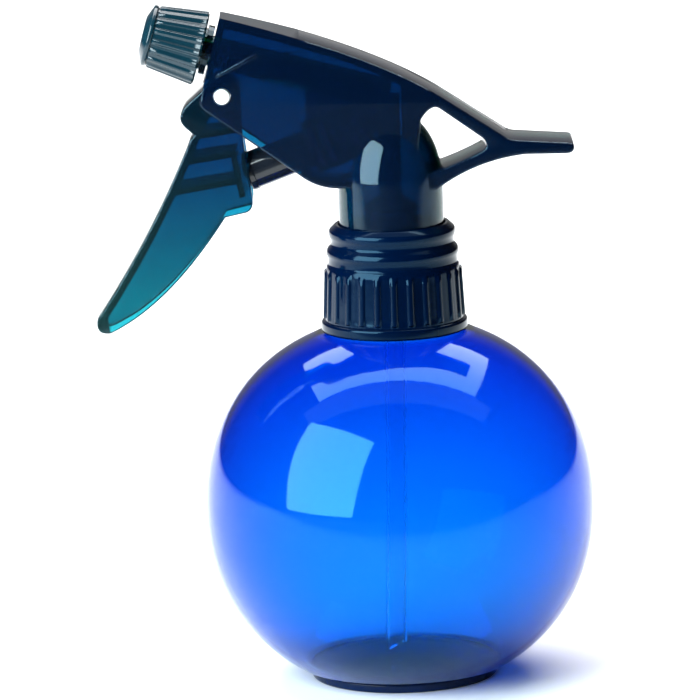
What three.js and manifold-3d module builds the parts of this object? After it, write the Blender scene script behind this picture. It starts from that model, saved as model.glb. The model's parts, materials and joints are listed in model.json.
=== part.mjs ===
// A ball-shaped spray bottle with a trigger pump head.
// Millimetres, +Z up. The nozzle points towards -X and the tail towards +X.
// The origin is the centre of the foot's flat underside, on the bottle's axis.
import * as THREE from "three";
import { mergeVertices } from "three/addons/utils/BufferGeometryUtils.js";
import Module from "manifold-3d";

// Clearance between neighbouring pieces.
const GAP = 0.3;

// Bottle: a ball, slightly squarer than a sphere, with a short threaded neck.
const BALL_RADIUS = 45;
const BALL_HALF_HEIGHT = 43.5;
const BALL_CENTRE_Z = 40.5;
const BALL_POWER = 2.15;
const BOTTLE_WALL = 1.2;
const BOTTLE_BASE_Z = 2.3;
const PUSH_UP_RISE = 0.9;
const PUSH_UP_RADIUS = 20.5;
const SHOULDER_RADIUS = 17.5;
const NECK_RADIUS = 12.55;
const NECK_BORE_RADIUS = 10.7;
const NECK_TOP_Z = 95.6;
const NECK_LIP = 0.5;

// Foot cup under the ball.
const CUP_RADIUS = 21.6;
const CUP_RIM_WIDTH = 2;
const CUP_FLOOR = 1.4;
const CUP_CHAMFER = 0.6;

// Screw closure. Its thread and the neck's thread run half a pitch apart.
const CLOSURE_PITCH = 4.2;
const CLOSURE_THREAD = { turns: 1.3, rootWidth: 2, crestWidth: 0.9, pitch: CLOSURE_PITCH };
const NECK_THREAD_CREST = 13.6;
const NECK_THREAD_Z = 85;
const COLLAR_BOTTOM_Z = 81.6;
const COLLAR_SKIRT_Z = 84.4;
const COLLAR_SHOULDER_Z = 96.2;
const COLLAR_CEILING_Z = 99.2;
const COLLAR_FLANGE = 1.5;
const COLLAR_FLANGE_RADIUS = 10.55;
const COLLAR_BORE_RADIUS = 14.15;
const COLLAR_THREAD_CREST = 12.95;
const COLLAR_RIM_RADIUS = 16.9;
const COLLAR_ROOT_RADIUS = 16.05;
const COLLAR_TAPER = 0.966;
const COLLAR_RIB_COUNT = 26;
const COLLAR_RIB_HEIGHT = 0.5;
const COLLAR_TOP_Z = 106.6;
const COLLAR_TOP_BORE = 12.4;

// Head: the column stands on the bottle's axis and ends in a dome.
const COLUMN_RADIUS = 12.1;
const COLUMN_WALL = 1.5;
const COLUMN_BOTTOM_Z = 101;
const DOME_CENTRE_Z = 116;
const DOME_HEIGHT = 17;
const SHROUD_HALF_WIDTH = 8.3;
const SHROUD_WALL = 1.3;
const BARREL_CLEARANCE = 0.4;
const PLUNGER_CLEARANCE = 0.8;

// The head's front narrows: each flank turns and leans in from a corner of the side's upper edge.
const FLANK_X = -15;
const FLANK_Z = 150.2;
const FLANK_TURN = Math.atan(0.0744);
const FLANK_LEAN = Math.atan(0.1911);

// Valve housing on the bottle's axis, and the dip tube below it.
const INTAKE_SOCKET_Z = 86;
const INTAKE_FLANGE_Z = 97.4;
const INTAKE_FLANGE = 1.5;
const INTAKE_FLANGE_RADIUS = 12.7;
const INTAKE_STEM_RADIUS = 4.4;
const INTAKE_TOP_Z = 109.2;
const INTAKE_BORE_RADIUS = 1.6;
const VENT_X = 7.5;
const VENT_RADIUS = 0.7;
const TUBE_RADIUS = 2.5;
const TUBE_BORE_RADIUS = 1.8;
const TUBE_CLEARANCE = 0.25;
const TUBE_TOP_Z = 95.6;
const TUBE_END_Z = 4.9;
const TUBE_END_X = -1.9;
const INLET_BALL_RADIUS = 2.1;
const INLET_BALL_Z = 105;

// Pump body: riser on the bottle's axis, plunger cylinder and barrel.
const RISER_RADIUS = 2.6;
const RISER_BORE_RADIUS = 1.3;
const PUMP_DISC_Z = 99.3;
const PUMP_DISC_RADIUS = 10.2;
const SOCKET_RADIUS = 6;
const BARREL_RADIUS = 3.6;
const CYLINDER_RADIUS = 6.3;
const CYLINDER_BORE_RADIUS = 5.3;
const CYLINDER_START = 16.2;
const CYLINDER_END = 30;
const CYLINDER_END_WALL = 1.2;
const PORT_RADIUS = 2;
const PORT_BORE_RADIUS = 0.9;
const WEB_BOTTOM_Z = 130;
const WEB_FRONT_X = -19;
const WATERWAY_RADIUS = 1.4;
const OUTLET_SEAT_RADIUS = 1.1;
const OUTLET_CHAMBER_RADIUS = 2.2;
const SWIRL_SOCKET_RADIUS = 2.6;

// Plunger frame: its +Z runs from the trigger into the cylinder.
const PLUNGER_TILT = THREE.MathUtils.degToRad(20);
const PLUNGER_X = -33.3;
const PLUNGER_Z = 119.1;
const PLUNGER_RADIUS = 4.4;
const PLUNGER_HEAD_RADIUS = 4.6;
const PLUNGER_LENGTH = 22;
const PLUNGER_HOLLOW_RADIUS = 3.3;
const PLUNGER_HOLLOW_START = 8.2;
const PLUNGER_NOSE = 0.6;
const VENT_SEAL_START = 16.6;
const PRESSURE_SEAL_START = 19.4;
const SEAL_GROOVE = 2;
const SEAL_GROOVE_DEPTH = 0.55;
const RETURN_SPRING = { radius: 2.55, wire: 0.42, turns: 7, stepsPerTurn: 11 };
const RETURN_SPRING_END_GAP = 0.7;

// Nozzle frame: its +Z is the spray direction, its origin the rear face of the cap.
const NOZZLE_TILT = THREE.MathUtils.degToRad(16);
const NOZZLE_X = -42.4;
const NOZZLE_Z = 148.2;
const CAP_LENGTH = 14;
const CAP_RIB_COUNT = 18;
const CAP_RIB_HEIGHT = 0.6;
const CAP_ROOT_RADIUS = 8.1;
const CAP_TAPER = 0.83;
const CAP_BORE_RADIUS = 6;
const CAP_BORE_DEPTH = 11.6;
const CAP_THREAD_CREST = 5.15;
const SPIGOT_RADIUS = 4.9;
const SPIGOT_LENGTH = 9.2;
const SPIGOT_THREAD_CREST = 5.6;
const SPIGOT_THREAD_START = 2.2;
const NOZZLE_PITCH = 2.4;
const NOZZLE_THREAD = { turns: 1.8, rootWidth: 1.2, crestWidth: 0.5, pitch: NOZZLE_PITCH };
const CAP_TAPER_END = 11.8;
const CAP_FACE_RADIUS = 7.2;
const ORIFICE_RADIUS = 0.6;
const NOZZLE_SEAL_RADIUS = 4.6;
const NOZZLE_SEAL_BORE_RADIUS = 2.9;
const VALVE_DISC_RADIUS = 1.75;
const VALVE_STEM_RADIUS = 0.8;
const OUTLET_SPRING = { radius: 1.45, wire: 0.22, turns: 6, stepsPerTurn: 10, sides: 5 };
const OUTLET_SPRING_START = -4.8;
const OUTLET_SPRING_END = 3.3;
const SWIRL_RADIUS = 2.3;
const SWIRL_START = 3.9;
const SWIRL_END = 10.9;
const SWIRL_SLOT = 0.9;

// Trigger: a channel that swings on a cross pin.
const PIVOT_X = -37.9;
const PIVOT_Z = 138.1;
const PIN_RADIUS = 1.8;
const PIN_HOLE_RADIUS = 2.05;
const PIN_HALF_LENGTH = 8.7;
const TRIGGER_HALF_WIDTH = 6.2;
const TRIGGER_WALL = 1.2;
const TRIGGER_BOSS_RADIUS = 4.2;
const PUSH_PAD_TILT = PLUNGER_TILT / 2;
const PUSH_PAD_HEIGHT = 9.4;
const PUSH_PAD_THICKNESS = 1.4;
const TRIGGER_RIB = 1.6;

// Facets of round shapes.
const BALL_SEGMENTS = 32;
const ROUND_SEGMENTS = 32;
const SMALL_SEGMENTS = 20;

const wasm = await Module();
wasm.setup();

// ---- Joining and cutting --------------------------------------------------

function toSolid(geometry) {
  const bare = geometry.clone();
  bare.deleteAttribute("normal");
  bare.deleteAttribute("uv");
  const merged = mergeVertices(bare, 1e-4);
  return new wasm.Manifold(
    new wasm.Mesh({
      numProp: 3,
      vertProperties: merged.attributes.position.array,
      triVerts: new Uint32Array(merged.index.array),
    }),
  );
}

function toGeometry(solid) {
  const mesh = solid.getMesh();
  const geometry = new THREE.BufferGeometry();
  geometry.setAttribute("position", new THREE.BufferAttribute(mesh.vertProperties, 3));
  geometry.setIndex(new THREE.BufferAttribute(mesh.triVerts, 1));
  geometry.computeVertexNormals();
  return geometry;
}

function join(...geometries) {
  return toGeometry(geometries.map(toSolid).reduce((all, next) => all.add(next)));
}

function cut(geometry, ...tools) {
  return toGeometry(tools.map(toSolid).reduce((left, tool) => left.subtract(tool), toSolid(geometry)));
}

// ---- Shape builders -------------------------------------------------------

// A solid of revolution about Z. The outline runs anticlockwise in (radius, height).
function turned(outline, segments = ROUND_SEGMENTS) {
  const points = outline.map(([radius, height]) => new THREE.Vector2(radius, height));
  const startsOnAxis = outline[0][0] === 0;
  if (!startsOnAxis) points.push(points[0].clone());
  return new THREE.LatheGeometry(points, segments).rotateX(Math.PI / 2);
}

// A round bar along Z from one height to another.
function bar(radius, bottom, top, segments = SMALL_SEGMENTS) {
  const geometry = new THREE.CylinderGeometry(radius, radius, top - bottom, segments);
  return geometry.rotateX(Math.PI / 2).translate(0, 0, (top + bottom) / 2);
}

// A plate whose outline lies in the XZ plane, centred on Y.
function slab(shape, halfWidth, curveSegments = 10) {
  const settings = { depth: 2 * halfWidth, bevelEnabled: false, curveSegments };
  return new THREE.ExtrudeGeometry(shape, settings).rotateX(Math.PI / 2).translate(0, halfWidth, 0);
}

function polygon(corners) {
  return new THREE.Shape(corners.map(([x, z]) => new THREE.Vector2(x, z)));
}

function inFrame(geometry, frame) {
  frame.updateMatrix();
  return geometry.clone().applyMatrix4(frame.matrix);
}

// A screw ridge: a straight bar with a trapezium section, wound round Z by moving its vertices.
function screwRidge({ root, crest, start, turns, rootWidth, crestWidth, pitch }) {
  const section = polygon([
    [-rootWidth / 2, root],
    [rootWidth / 2, root],
    [crestWidth / 2, crest],
    [-crestWidth / 2, crest],
  ]);
  const angle = 2 * Math.PI * turns;
  const steps = Math.round(20 * turns);
  const geometry = new THREE.ExtrudeGeometry(section, { depth: angle, steps, bevelEnabled: false });
  const position = geometry.attributes.position;
  const fadeAngle = Math.PI / 4;
  for (let i = 0; i < position.count; i++) {
    const along = position.getX(i);
    const turn = position.getZ(i);
    const fade = Math.min(1, Math.min(turn, angle - turn) / fadeAngle);
    const radius = root + (position.getY(i) - root) * (0.3 + 0.7 * fade);
    const height = start + along + (pitch * turn) / (2 * Math.PI);
    position.setXYZ(i, radius * Math.cos(turn), radius * Math.sin(turn), height);
  }
  return geometry;
}

// A ring of raised ribs that tapers upwards. A round hole in the middle leaves the bore free.
function ribbedBand({ root, height, count, bottom, top, taper, hole }) {
  const outline = [];
  const ribShare = [-0.3, -0.14, 0.14, 0.3];
  for (let rib = 0; rib < count; rib++) {
    ribShare.forEach((share, corner) => {
      const angle = (2 * Math.PI * (rib + share)) / count;
      const radius = corner === 1 || corner === 2 ? root + height : root;
      outline.push(new THREE.Vector2(radius * Math.cos(angle), radius * Math.sin(angle)));
    });
  }
  const shape = new THREE.Shape(outline);
  shape.holes.push(new THREE.Path().absarc(0, 0, hole, 0, 2 * Math.PI, true));
  const geometry = new THREE.ExtrudeGeometry(shape, { depth: top - bottom, bevelEnabled: false });
  const position = geometry.attributes.position;
  for (let i = 0; i < position.count; i++) {
    const scale = position.getZ(i) > 0 ? taper : 1;
    position.setXYZ(i, position.getX(i) * scale, position.getY(i) * scale, position.getZ(i) + bottom);
  }
  return geometry;
}

// A coil spring along Z, of round wire.
function coil({ radius, wire, bottom, top, turns, stepsPerTurn, sides = 6 }) {
  class Helix extends THREE.Curve {
    getPoint(t, target = new THREE.Vector3()) {
      const angle = 2 * Math.PI * turns * t;
      return target.set(radius * Math.cos(angle), radius * Math.sin(angle), bottom + (top - bottom) * t);
    }
  }
  const section = new THREE.Shape();
  for (let i = 0; i < sides; i++) {
    const angle = (2 * Math.PI * i) / sides;
    const place = [wire * Math.cos(angle), wire * Math.sin(angle)];
    if (i === 0) section.moveTo(...place);
    else section.lineTo(...place);
  }
  return new THREE.ExtrudeGeometry(section, {
    steps: Math.round(stepsPerTurn * turns),
    extrudePath: new Helix(),
    bevelEnabled: false,
  });
}

// ---- Frames that the tilted pieces stand in --------------------------------

function tiltedFrame(x, z, turnAboutY) {
  const frame = new THREE.Group();
  frame.position.set(x, 0, z);
  frame.rotation.y = turnAboutY;
  return frame;
}

const nozzleFrame = tiltedFrame(NOZZLE_X, NOZZLE_Z, NOZZLE_TILT - Math.PI / 2);
const plungerFrame = tiltedFrame(PLUNGER_X, PLUNGER_Z, Math.PI / 2 - PLUNGER_TILT);

// ---- Bottle ---------------------------------------------------------------

// Points on the ball's outline between two heights, drawn in by inset.
function ballOutline(fromAngle, toAngle, inset, count) {
  const points = [];
  for (let i = 0; i <= count; i++) {
    const angle = fromAngle + ((toAngle - fromAngle) * i) / count;
    const radius = (BALL_RADIUS - inset) * Math.cos(angle) ** (2 / BALL_POWER);
    const rise = (BALL_HALF_HEIGHT - inset) * Math.abs(Math.sin(angle)) ** (2 / BALL_POWER);
    points.push([radius, BALL_CENTRE_Z + Math.sign(angle) * rise]);
  }
  return points;
}

function ballAngleAtRadius(radius, inset) {
  return Math.acos((radius / (BALL_RADIUS - inset)) ** (BALL_POWER / 2));
}

function ballAngleAtHeight(height, inset) {
  const rise = height - BALL_CENTRE_Z;
  const share = (Math.abs(rise) / (BALL_HALF_HEIGHT - inset)) ** (BALL_POWER / 2);
  return Math.sign(rise) * Math.asin(share);
}

function bottle() {
  const outside = ballOutline(
    ballAngleAtHeight(BOTTLE_BASE_Z, 0),
    ballAngleAtRadius(SHOULDER_RADIUS, 0),
    0,
    15,
  );
  const shoulderZ = outside.at(-1)[1];
  const floorZ = BOTTLE_BASE_Z + BOTTLE_WALL;
  const inside = ballOutline(
    ballAngleAtRadius(NECK_BORE_RADIUS, BOTTLE_WALL),
    ballAngleAtHeight(floorZ, BOTTLE_WALL),
    BOTTLE_WALL,
    12,
  );
  const body = turned(
    [
      [0, BOTTLE_BASE_Z + PUSH_UP_RISE],
      [PUSH_UP_RADIUS / 2, BOTTLE_BASE_Z + 0.75 * PUSH_UP_RISE],
      [PUSH_UP_RADIUS, BOTTLE_BASE_Z],
      ...outside,
      [NECK_RADIUS, shoulderZ],
      [NECK_RADIUS, NECK_TOP_Z - NECK_LIP],
      [NECK_RADIUS - NECK_LIP, NECK_TOP_Z],
      [NECK_BORE_RADIUS, NECK_TOP_Z],
      ...inside,
      [PUSH_UP_RADIUS / 2, floorZ + 0.75 * PUSH_UP_RISE],
      [0, floorZ + PUSH_UP_RISE],
    ],
    BALL_SEGMENTS,
  );
  const thread = screwRidge({
    ...CLOSURE_THREAD,
    root: NECK_RADIUS - 0.3,
    crest: NECK_THREAD_CREST,
    start: NECK_THREAD_Z,
  });
  return join(body, thread);
}

function baseCup() {
  const rimZ = BOTTLE_BASE_Z - GAP;
  return turned([
    [0, 0],
    [CUP_RADIUS - CUP_CHAMFER, 0],
    [CUP_RADIUS, CUP_CHAMFER],
    [CUP_RADIUS, rimZ],
    [CUP_RADIUS - CUP_RIM_WIDTH, rimZ],
    [CUP_RADIUS - CUP_RIM_WIDTH, CUP_FLOOR],
    [0, CUP_FLOOR],
  ]);
}

// ---- Closure and valve housing ---------------------------------------------

function closureCollar() {
  const flangeTop = COLLAR_CEILING_Z + COLLAR_FLANGE;
  const topRadius = COLLAR_ROOT_RADIUS * COLLAR_TAPER;
  const body = turned([
    [COLLAR_BORE_RADIUS, COLLAR_BOTTOM_Z],
    [COLLAR_RIM_RADIUS - 0.4, COLLAR_BOTTOM_Z],
    [COLLAR_RIM_RADIUS, COLLAR_BOTTOM_Z + 0.4],
    [COLLAR_RIM_RADIUS, COLLAR_SKIRT_Z - 0.8],
    [COLLAR_ROOT_RADIUS, COLLAR_SKIRT_Z],
    [topRadius, COLLAR_SHOULDER_Z],
    [15.2, COLLAR_SHOULDER_Z + 0.7],
    [15, 98.6],
    [15.35, 100.2],
    [14.9, 101],
    [14.2, 102.4],
    [14.6, 104.2],
    [14.6, 105],
    [COLLAR_TOP_BORE + 0.5, COLLAR_TOP_Z],
    [COLLAR_TOP_BORE, COLLAR_TOP_Z - 0.3],
    [COLLAR_TOP_BORE, flangeTop],
    [COLLAR_FLANGE_RADIUS, flangeTop],
    [COLLAR_FLANGE_RADIUS, COLLAR_CEILING_Z],
    [COLLAR_BORE_RADIUS, COLLAR_CEILING_Z],
  ]);
  const ribs = ribbedBand({
    root: COLLAR_ROOT_RADIUS,
    height: COLLAR_RIB_HEIGHT,
    count: COLLAR_RIB_COUNT,
    bottom: COLLAR_SKIRT_Z - 0.3,
    top: COLLAR_SHOULDER_Z,
    taper: COLLAR_TAPER,
    hole: COLLAR_BORE_RADIUS + 0.8,
  });
  const thread = screwRidge({
    ...CLOSURE_THREAD,
    root: COLLAR_BORE_RADIUS + 0.3,
    crest: COLLAR_THREAD_CREST,
    start: NECK_THREAD_Z + CLOSURE_PITCH / 2,
  });
  return join(body, ribs, thread);
}

function neckGasket() {
  return turned([
    [NECK_BORE_RADIUS + 0.2, NECK_TOP_Z + GAP],
    [INTAKE_FLANGE_RADIUS, NECK_TOP_Z + GAP],
    [INTAKE_FLANGE_RADIUS, INTAKE_FLANGE_Z - GAP],
    [NECK_BORE_RADIUS + 0.2, INTAKE_FLANGE_Z - GAP],
  ]);
}

function intakeBody() {
  const flangeTop = INTAKE_FLANGE_Z + INTAKE_FLANGE;
  const socketBore = TUBE_RADIUS + TUBE_CLEARANCE;
  const socketRadius = INTAKE_STEM_RADIUS - 0.3;
  const ballChamber = INLET_BALL_RADIUS + 0.65;
  const body = turned(
    [
      [socketBore, INTAKE_SOCKET_Z],
      [socketRadius, INTAKE_SOCKET_Z],
      [socketRadius, INTAKE_FLANGE_Z],
      [INTAKE_FLANGE_RADIUS, INTAKE_FLANGE_Z],
      [INTAKE_FLANGE_RADIUS, flangeTop],
      [INTAKE_STEM_RADIUS, flangeTop],
      [INTAKE_STEM_RADIUS, INTAKE_TOP_Z],
      [ballChamber, INTAKE_TOP_Z],
      [ballChamber, INLET_BALL_Z - 0.3],
      [INTAKE_BORE_RADIUS, INLET_BALL_Z - 1.7],
      [INTAKE_BORE_RADIUS, TUBE_TOP_Z + GAP],
      [socketBore, TUBE_TOP_Z + GAP],
    ],
    24,
  );
  const vent = bar(VENT_RADIUS, INTAKE_FLANGE_Z - 1, flangeTop + 1, 12).translate(VENT_X, 0, 0);
  return cut(body, vent);
}

function inletBall() {
  return new THREE.SphereGeometry(INLET_BALL_RADIUS, 16, 10).translate(0, 0, INLET_BALL_Z);
}

function dipTube() {
  const section = new THREE.Shape().absarc(0, 0, TUBE_RADIUS, 0, 2 * Math.PI);
  section.holes.push(new THREE.Path().absarc(0, 0, TUBE_BORE_RADIUS, 0, 2 * Math.PI, true));
  const path = new THREE.QuadraticBezierCurve3(
    new THREE.Vector3(0, 0, TUBE_TOP_Z),
    new THREE.Vector3(0, 0, (TUBE_TOP_Z + TUBE_END_Z) / 2),
    new THREE.Vector3(TUBE_END_X, 0, TUBE_END_Z),
  );
  return new THREE.ExtrudeGeometry(section, {
    steps: 6,
    curveSegments: 8,
    extrudePath: path,
    bevelEnabled: false,
  });
}

// ---- Pump body --------------------------------------------------------------

function pumpBody() {
  const jointZ = NOZZLE_Z + NOZZLE_X * Math.tan(NOZZLE_TILT);
  const barrelStart = NOZZLE_X / Math.cos(NOZZLE_TILT);
  const stem = turned([
    [0, PUMP_DISC_Z],
    [PUMP_DISC_RADIUS, PUMP_DISC_Z],
    [PUMP_DISC_RADIUS, PUMP_DISC_Z + 2],
    [SOCKET_RADIUS, PUMP_DISC_Z + 2.4],
    [SOCKET_RADIUS, INTAKE_TOP_Z + 1.4],
    [RISER_RADIUS, INTAKE_TOP_Z + 4],
    [RISER_RADIUS, jointZ],
    [0, jointZ],
  ]);
  const barrel = turned(
    [
      [0, barrelStart],
      [BARREL_RADIUS, barrelStart],
      [BARREL_RADIUS, -1.9],
      [SPIGOT_RADIUS + 0.9, -1.9],
      [SPIGOT_RADIUS + 0.9, -0.4],
      [SPIGOT_RADIUS, -0.4],
      [SPIGOT_RADIUS, SPIGOT_LENGTH],
      [0, SPIGOT_LENGTH],
    ],
    24,
  );
  const thread = screwRidge({
    ...NOZZLE_THREAD,
    root: SPIGOT_RADIUS - 0.2,
    crest: SPIGOT_THREAD_CREST,
    start: SPIGOT_THREAD_START,
  });
  const cylinder = bar(CYLINDER_RADIUS, CYLINDER_START, CYLINDER_END + CYLINDER_END_WALL, 28);
  const riserDistance = -PLUNGER_X / Math.cos(PLUNGER_TILT);
  const port = bar(PORT_RADIUS, CYLINDER_END + 0.5, riserDistance, 16);
  const web = slab(
    polygon([
      [-2, WEB_BOTTOM_Z],
      [-2, jointZ],
      [WEB_FRONT_X, WEB_BOTTOM_Z + 11],
      [WEB_FRONT_X, WEB_BOTTOM_Z],
    ]),
    0.8,
  );
  const solid = join(
    stem,
    inFrame(barrel, nozzleFrame),
    inFrame(thread, nozzleFrame),
    inFrame(cylinder, plungerFrame),
    inFrame(port, plungerFrame),
    web,
  );
  const waterway = turned(
    [
      [0, barrelStart + 0.7],
      [WATERWAY_RADIUS, barrelStart + 0.7],
      [WATERWAY_RADIUS, -9],
      [OUTLET_SEAT_RADIUS, -8.7],
      [OUTLET_SEAT_RADIUS, -7.5],
      [OUTLET_CHAMBER_RADIUS, -6.4],
      [OUTLET_CHAMBER_RADIUS, 3.6],
      [SWIRL_SOCKET_RADIUS, 3.6],
      [SWIRL_SOCKET_RADIUS, SPIGOT_LENGTH + 1],
      [0, SPIGOT_LENGTH + 1],
    ],
    SMALL_SEGMENTS,
  );
  return cut(
    solid,
    bar(INTAKE_STEM_RADIUS + GAP, PUMP_DISC_Z - 1, INTAKE_TOP_Z + GAP, 24),
    bar(RISER_BORE_RADIUS, INTAKE_TOP_Z, jointZ + 0.5, 12),
    bar(VENT_RADIUS, PUMP_DISC_Z - 1, PUMP_DISC_Z + 3, 12).translate(VENT_X, 0, 0),
    inFrame(waterway, nozzleFrame),
    inFrame(bar(CYLINDER_BORE_RADIUS, CYLINDER_START - 1, CYLINDER_END, 28), plungerFrame),
    inFrame(bar(PORT_BORE_RADIUS, CYLINDER_END - 1, riserDistance, 10), plungerFrame),
  );
}

// ---- Plunger, in the plunger frame -------------------------------------------

function piston() {
  const groove = (start) => [
    [PLUNGER_RADIUS, start],
    [PLUNGER_RADIUS - SEAL_GROOVE_DEPTH, start],
    [PLUNGER_RADIUS - SEAL_GROOVE_DEPTH, start + SEAL_GROOVE],
    [PLUNGER_RADIUS, start + SEAL_GROOVE],
  ];
  return turned([
    [0, -PLUNGER_NOSE],
    [1.2, 0.06 - PLUNGER_NOSE],
    [PLUNGER_HEAD_RADIUS, 0.5],
    [PLUNGER_HEAD_RADIUS, 1.9],
    [PLUNGER_RADIUS, 2.1],
    ...groove(VENT_SEAL_START),
    ...groove(PRESSURE_SEAL_START),
    [PLUNGER_RADIUS, PLUNGER_LENGTH],
    [PLUNGER_HOLLOW_RADIUS, PLUNGER_LENGTH],
    [PLUNGER_HOLLOW_RADIUS, PLUNGER_HOLLOW_START],
    [0, PLUNGER_HOLLOW_START],
  ]);
}

// A lip ring that sits in one of the plunger's grooves. Its lip flares towards the cylinder's end.
function lipSeal(grooveStart) {
  const inner = PLUNGER_RADIUS - SEAL_GROOVE_DEPTH + 0.25;
  const lip = CYLINDER_BORE_RADIUS - 0.2;
  const back = grooveStart + GAP;
  return turned([
    [inner, back],
    [lip - 0.5, back],
    [lip, back + 1.4],
    [lip - 0.4, back + 1.4],
    [inner + 0.5, back + 0.8],
    [inner, back + 0.8],
  ]);
}

function returnSpring() {
  return coil({
    ...RETURN_SPRING,
    bottom: PLUNGER_HOLLOW_START + RETURN_SPRING_END_GAP,
    top: CYLINDER_END - RETURN_SPRING_END_GAP,
  });
}

// ---- Nozzle, in the nozzle frame ----------------------------------------------

function outletValve() {
  return turned(
    [
      [0, -7.9],
      [0.6, -7.6],
      [VALVE_DISC_RADIUS, -6.2],
      [VALVE_DISC_RADIUS, -5.5],
      [VALVE_STEM_RADIUS, -5.3],
      [VALVE_STEM_RADIUS, -1.5],
      [0, -1.2],
    ],
    16,
  );
}

function outletSpring() {
  return coil({ ...OUTLET_SPRING, bottom: OUTLET_SPRING_START, top: OUTLET_SPRING_END });
}

function swirlInsert() {
  const plug = turned(
    [
      [0, SWIRL_START],
      [SWIRL_RADIUS, SWIRL_START],
      [SWIRL_RADIUS, SWIRL_END - 0.3],
      [SWIRL_RADIUS - 0.3, SWIRL_END],
      [0, SWIRL_END],
    ],
    SMALL_SEGMENTS,
  );
  const length = SWIRL_END - SWIRL_START + 1;
  const middle = (SWIRL_START + SWIRL_END) / 2;
  const slots = [-1, 1].map((side) =>
    new THREE.BoxGeometry(SWIRL_SLOT, SWIRL_SLOT, length).translate(side * 2.2, 0, middle),
  );
  return cut(plug, ...slots);
}

function nozzleSeal() {
  return turned(
    [
      [NOZZLE_SEAL_BORE_RADIUS, SPIGOT_LENGTH + GAP],
      [NOZZLE_SEAL_RADIUS, SPIGOT_LENGTH + GAP],
      [NOZZLE_SEAL_RADIUS, CAP_BORE_DEPTH - GAP],
      [NOZZLE_SEAL_BORE_RADIUS, CAP_BORE_DEPTH - GAP],
    ],
    24,
  );
}

function nozzleCap() {
  const body = turned([
    [CAP_BORE_RADIUS, 0],
    [CAP_ROOT_RADIUS, 0],
    [CAP_ROOT_RADIUS * CAP_TAPER, CAP_TAPER_END],
    [CAP_FACE_RADIUS, CAP_TAPER_END + 0.1],
    [CAP_FACE_RADIUS, CAP_LENGTH - 1.3],
    [4, CAP_LENGTH],
    [ORIFICE_RADIUS, CAP_LENGTH],
    [ORIFICE_RADIUS, CAP_BORE_DEPTH],
    [CAP_BORE_RADIUS, CAP_BORE_DEPTH],
  ]);
  const ribs = ribbedBand({
    root: CAP_ROOT_RADIUS,
    height: CAP_RIB_HEIGHT,
    count: CAP_RIB_COUNT,
    bottom: 0,
    top: CAP_TAPER_END,
    taper: CAP_TAPER,
    hole: CAP_BORE_RADIUS + 1.4,
  });
  const thread = screwRidge({
    ...NOZZLE_THREAD,
    root: CAP_BORE_RADIUS + 0.2,
    crest: CAP_THREAD_CREST,
    start: SPIGOT_THREAD_START + NOZZLE_PITCH / 2,
  });
  return join(body, ribs, thread);
}

// ---- Trigger and pin -----------------------------------------------------------

function triggerOutline() {
  const shape = new THREE.Shape();
  shape.moveTo(-45.5, 128.2);
  shape.quadraticCurveTo(-54.9, 106.2, -68.4, 86.6);
  shape.quadraticCurveTo(-69, 83, -65.4, 83.4);
  shape.quadraticCurveTo(-51.6, 89.6, -38.1, 109.7);
  shape.lineTo(-33.2, 110.7);
  shape.quadraticCurveTo(-31.4, 111.4, -31.7, 114);
  shape.lineTo(-33.4, 127.3);
  shape.lineTo(PIVOT_X + TRIGGER_BOSS_RADIUS, PIVOT_Z);
  shape.absarc(PIVOT_X, PIVOT_Z, TRIGGER_BOSS_RADIUS, 0, THREE.MathUtils.degToRad(150), false);
  shape.lineTo(-46.2, 136);
  shape.quadraticCurveTo(-49, 133.2, -46.6, 130.8);
  shape.lineTo(-44.6, 129);
  return shape;
}

// The channel's hollow, open towards the column. It keeps its walls, ribs and push pad.
function triggerHollow() {
  const shape = new THREE.Shape();
  shape.moveTo(-43.6, 127.6);
  shape.quadraticCurveTo(-52.9, 105.9, -65.9, 87);
  shape.lineTo(-65.2, 80);
  shape.lineTo(-28, 80);
  shape.lineTo(-28, 133);
  shape.lineTo(-41, 133);
  const rib = (x0, z0, x1, z1) =>
    slab(
      polygon([
        [x0, z0],
        [x1, z1],
        [x1, z1 + TRIGGER_RIB],
        [x0, z0 + TRIGGER_RIB],
      ]),
      TRIGGER_HALF_WIDTH,
    );
  const pad = new THREE.BoxGeometry(PUSH_PAD_HEIGHT, 2 * TRIGGER_HALF_WIDTH, PUSH_PAD_THICKNESS);
  pad.translate(0, 0, -PLUNGER_NOSE - GAP - PUSH_PAD_THICKNESS / 2);
  return cut(
    slab(shape, TRIGGER_HALF_WIDTH - TRIGGER_WALL),
    rib(-50, 127, -30, 130),
    rib(-50, 121.5, -35.2, 123.7),
    rib(-56, 114, -34.6, 117.4),
    inFrame(pad, tiltedFrame(PLUNGER_X, PLUNGER_Z, Math.PI / 2 - PUSH_PAD_TILT)),
    crossBar(TRIGGER_BOSS_RADIUS, PIVOT_X, PIVOT_Z, TRIGGER_HALF_WIDTH),
  );
}

// A round bar along Y.
function crossBar(radius, x, z, halfLength, segments = 24) {
  return new THREE.CylinderGeometry(radius, radius, 2 * halfLength, segments).translate(x, 0, z);
}

function trigger() {
  return cut(
    slab(triggerOutline(), TRIGGER_HALF_WIDTH),
    triggerHollow(),
    crossBar(PIN_HOLE_RADIUS, PIVOT_X, PIVOT_Z, TRIGGER_HALF_WIDTH + 1),
  );
}

function pivotPin() {
  const chamfer = 0.3;
  const outline = [
    [0, -PIN_HALF_LENGTH],
    [PIN_RADIUS - chamfer, -PIN_HALF_LENGTH],
    [PIN_RADIUS, chamfer - PIN_HALF_LENGTH],
    [PIN_RADIUS, PIN_HALF_LENGTH - chamfer],
    [PIN_RADIUS - chamfer, PIN_HALF_LENGTH],
    [0, PIN_HALF_LENGTH],
  ];
  return turned(outline, SMALL_SEGMENTS).rotateX(Math.PI / 2).translate(PIVOT_X, 0, PIVOT_Z);
}

// ---- Shroud ----------------------------------------------------------------------

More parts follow.
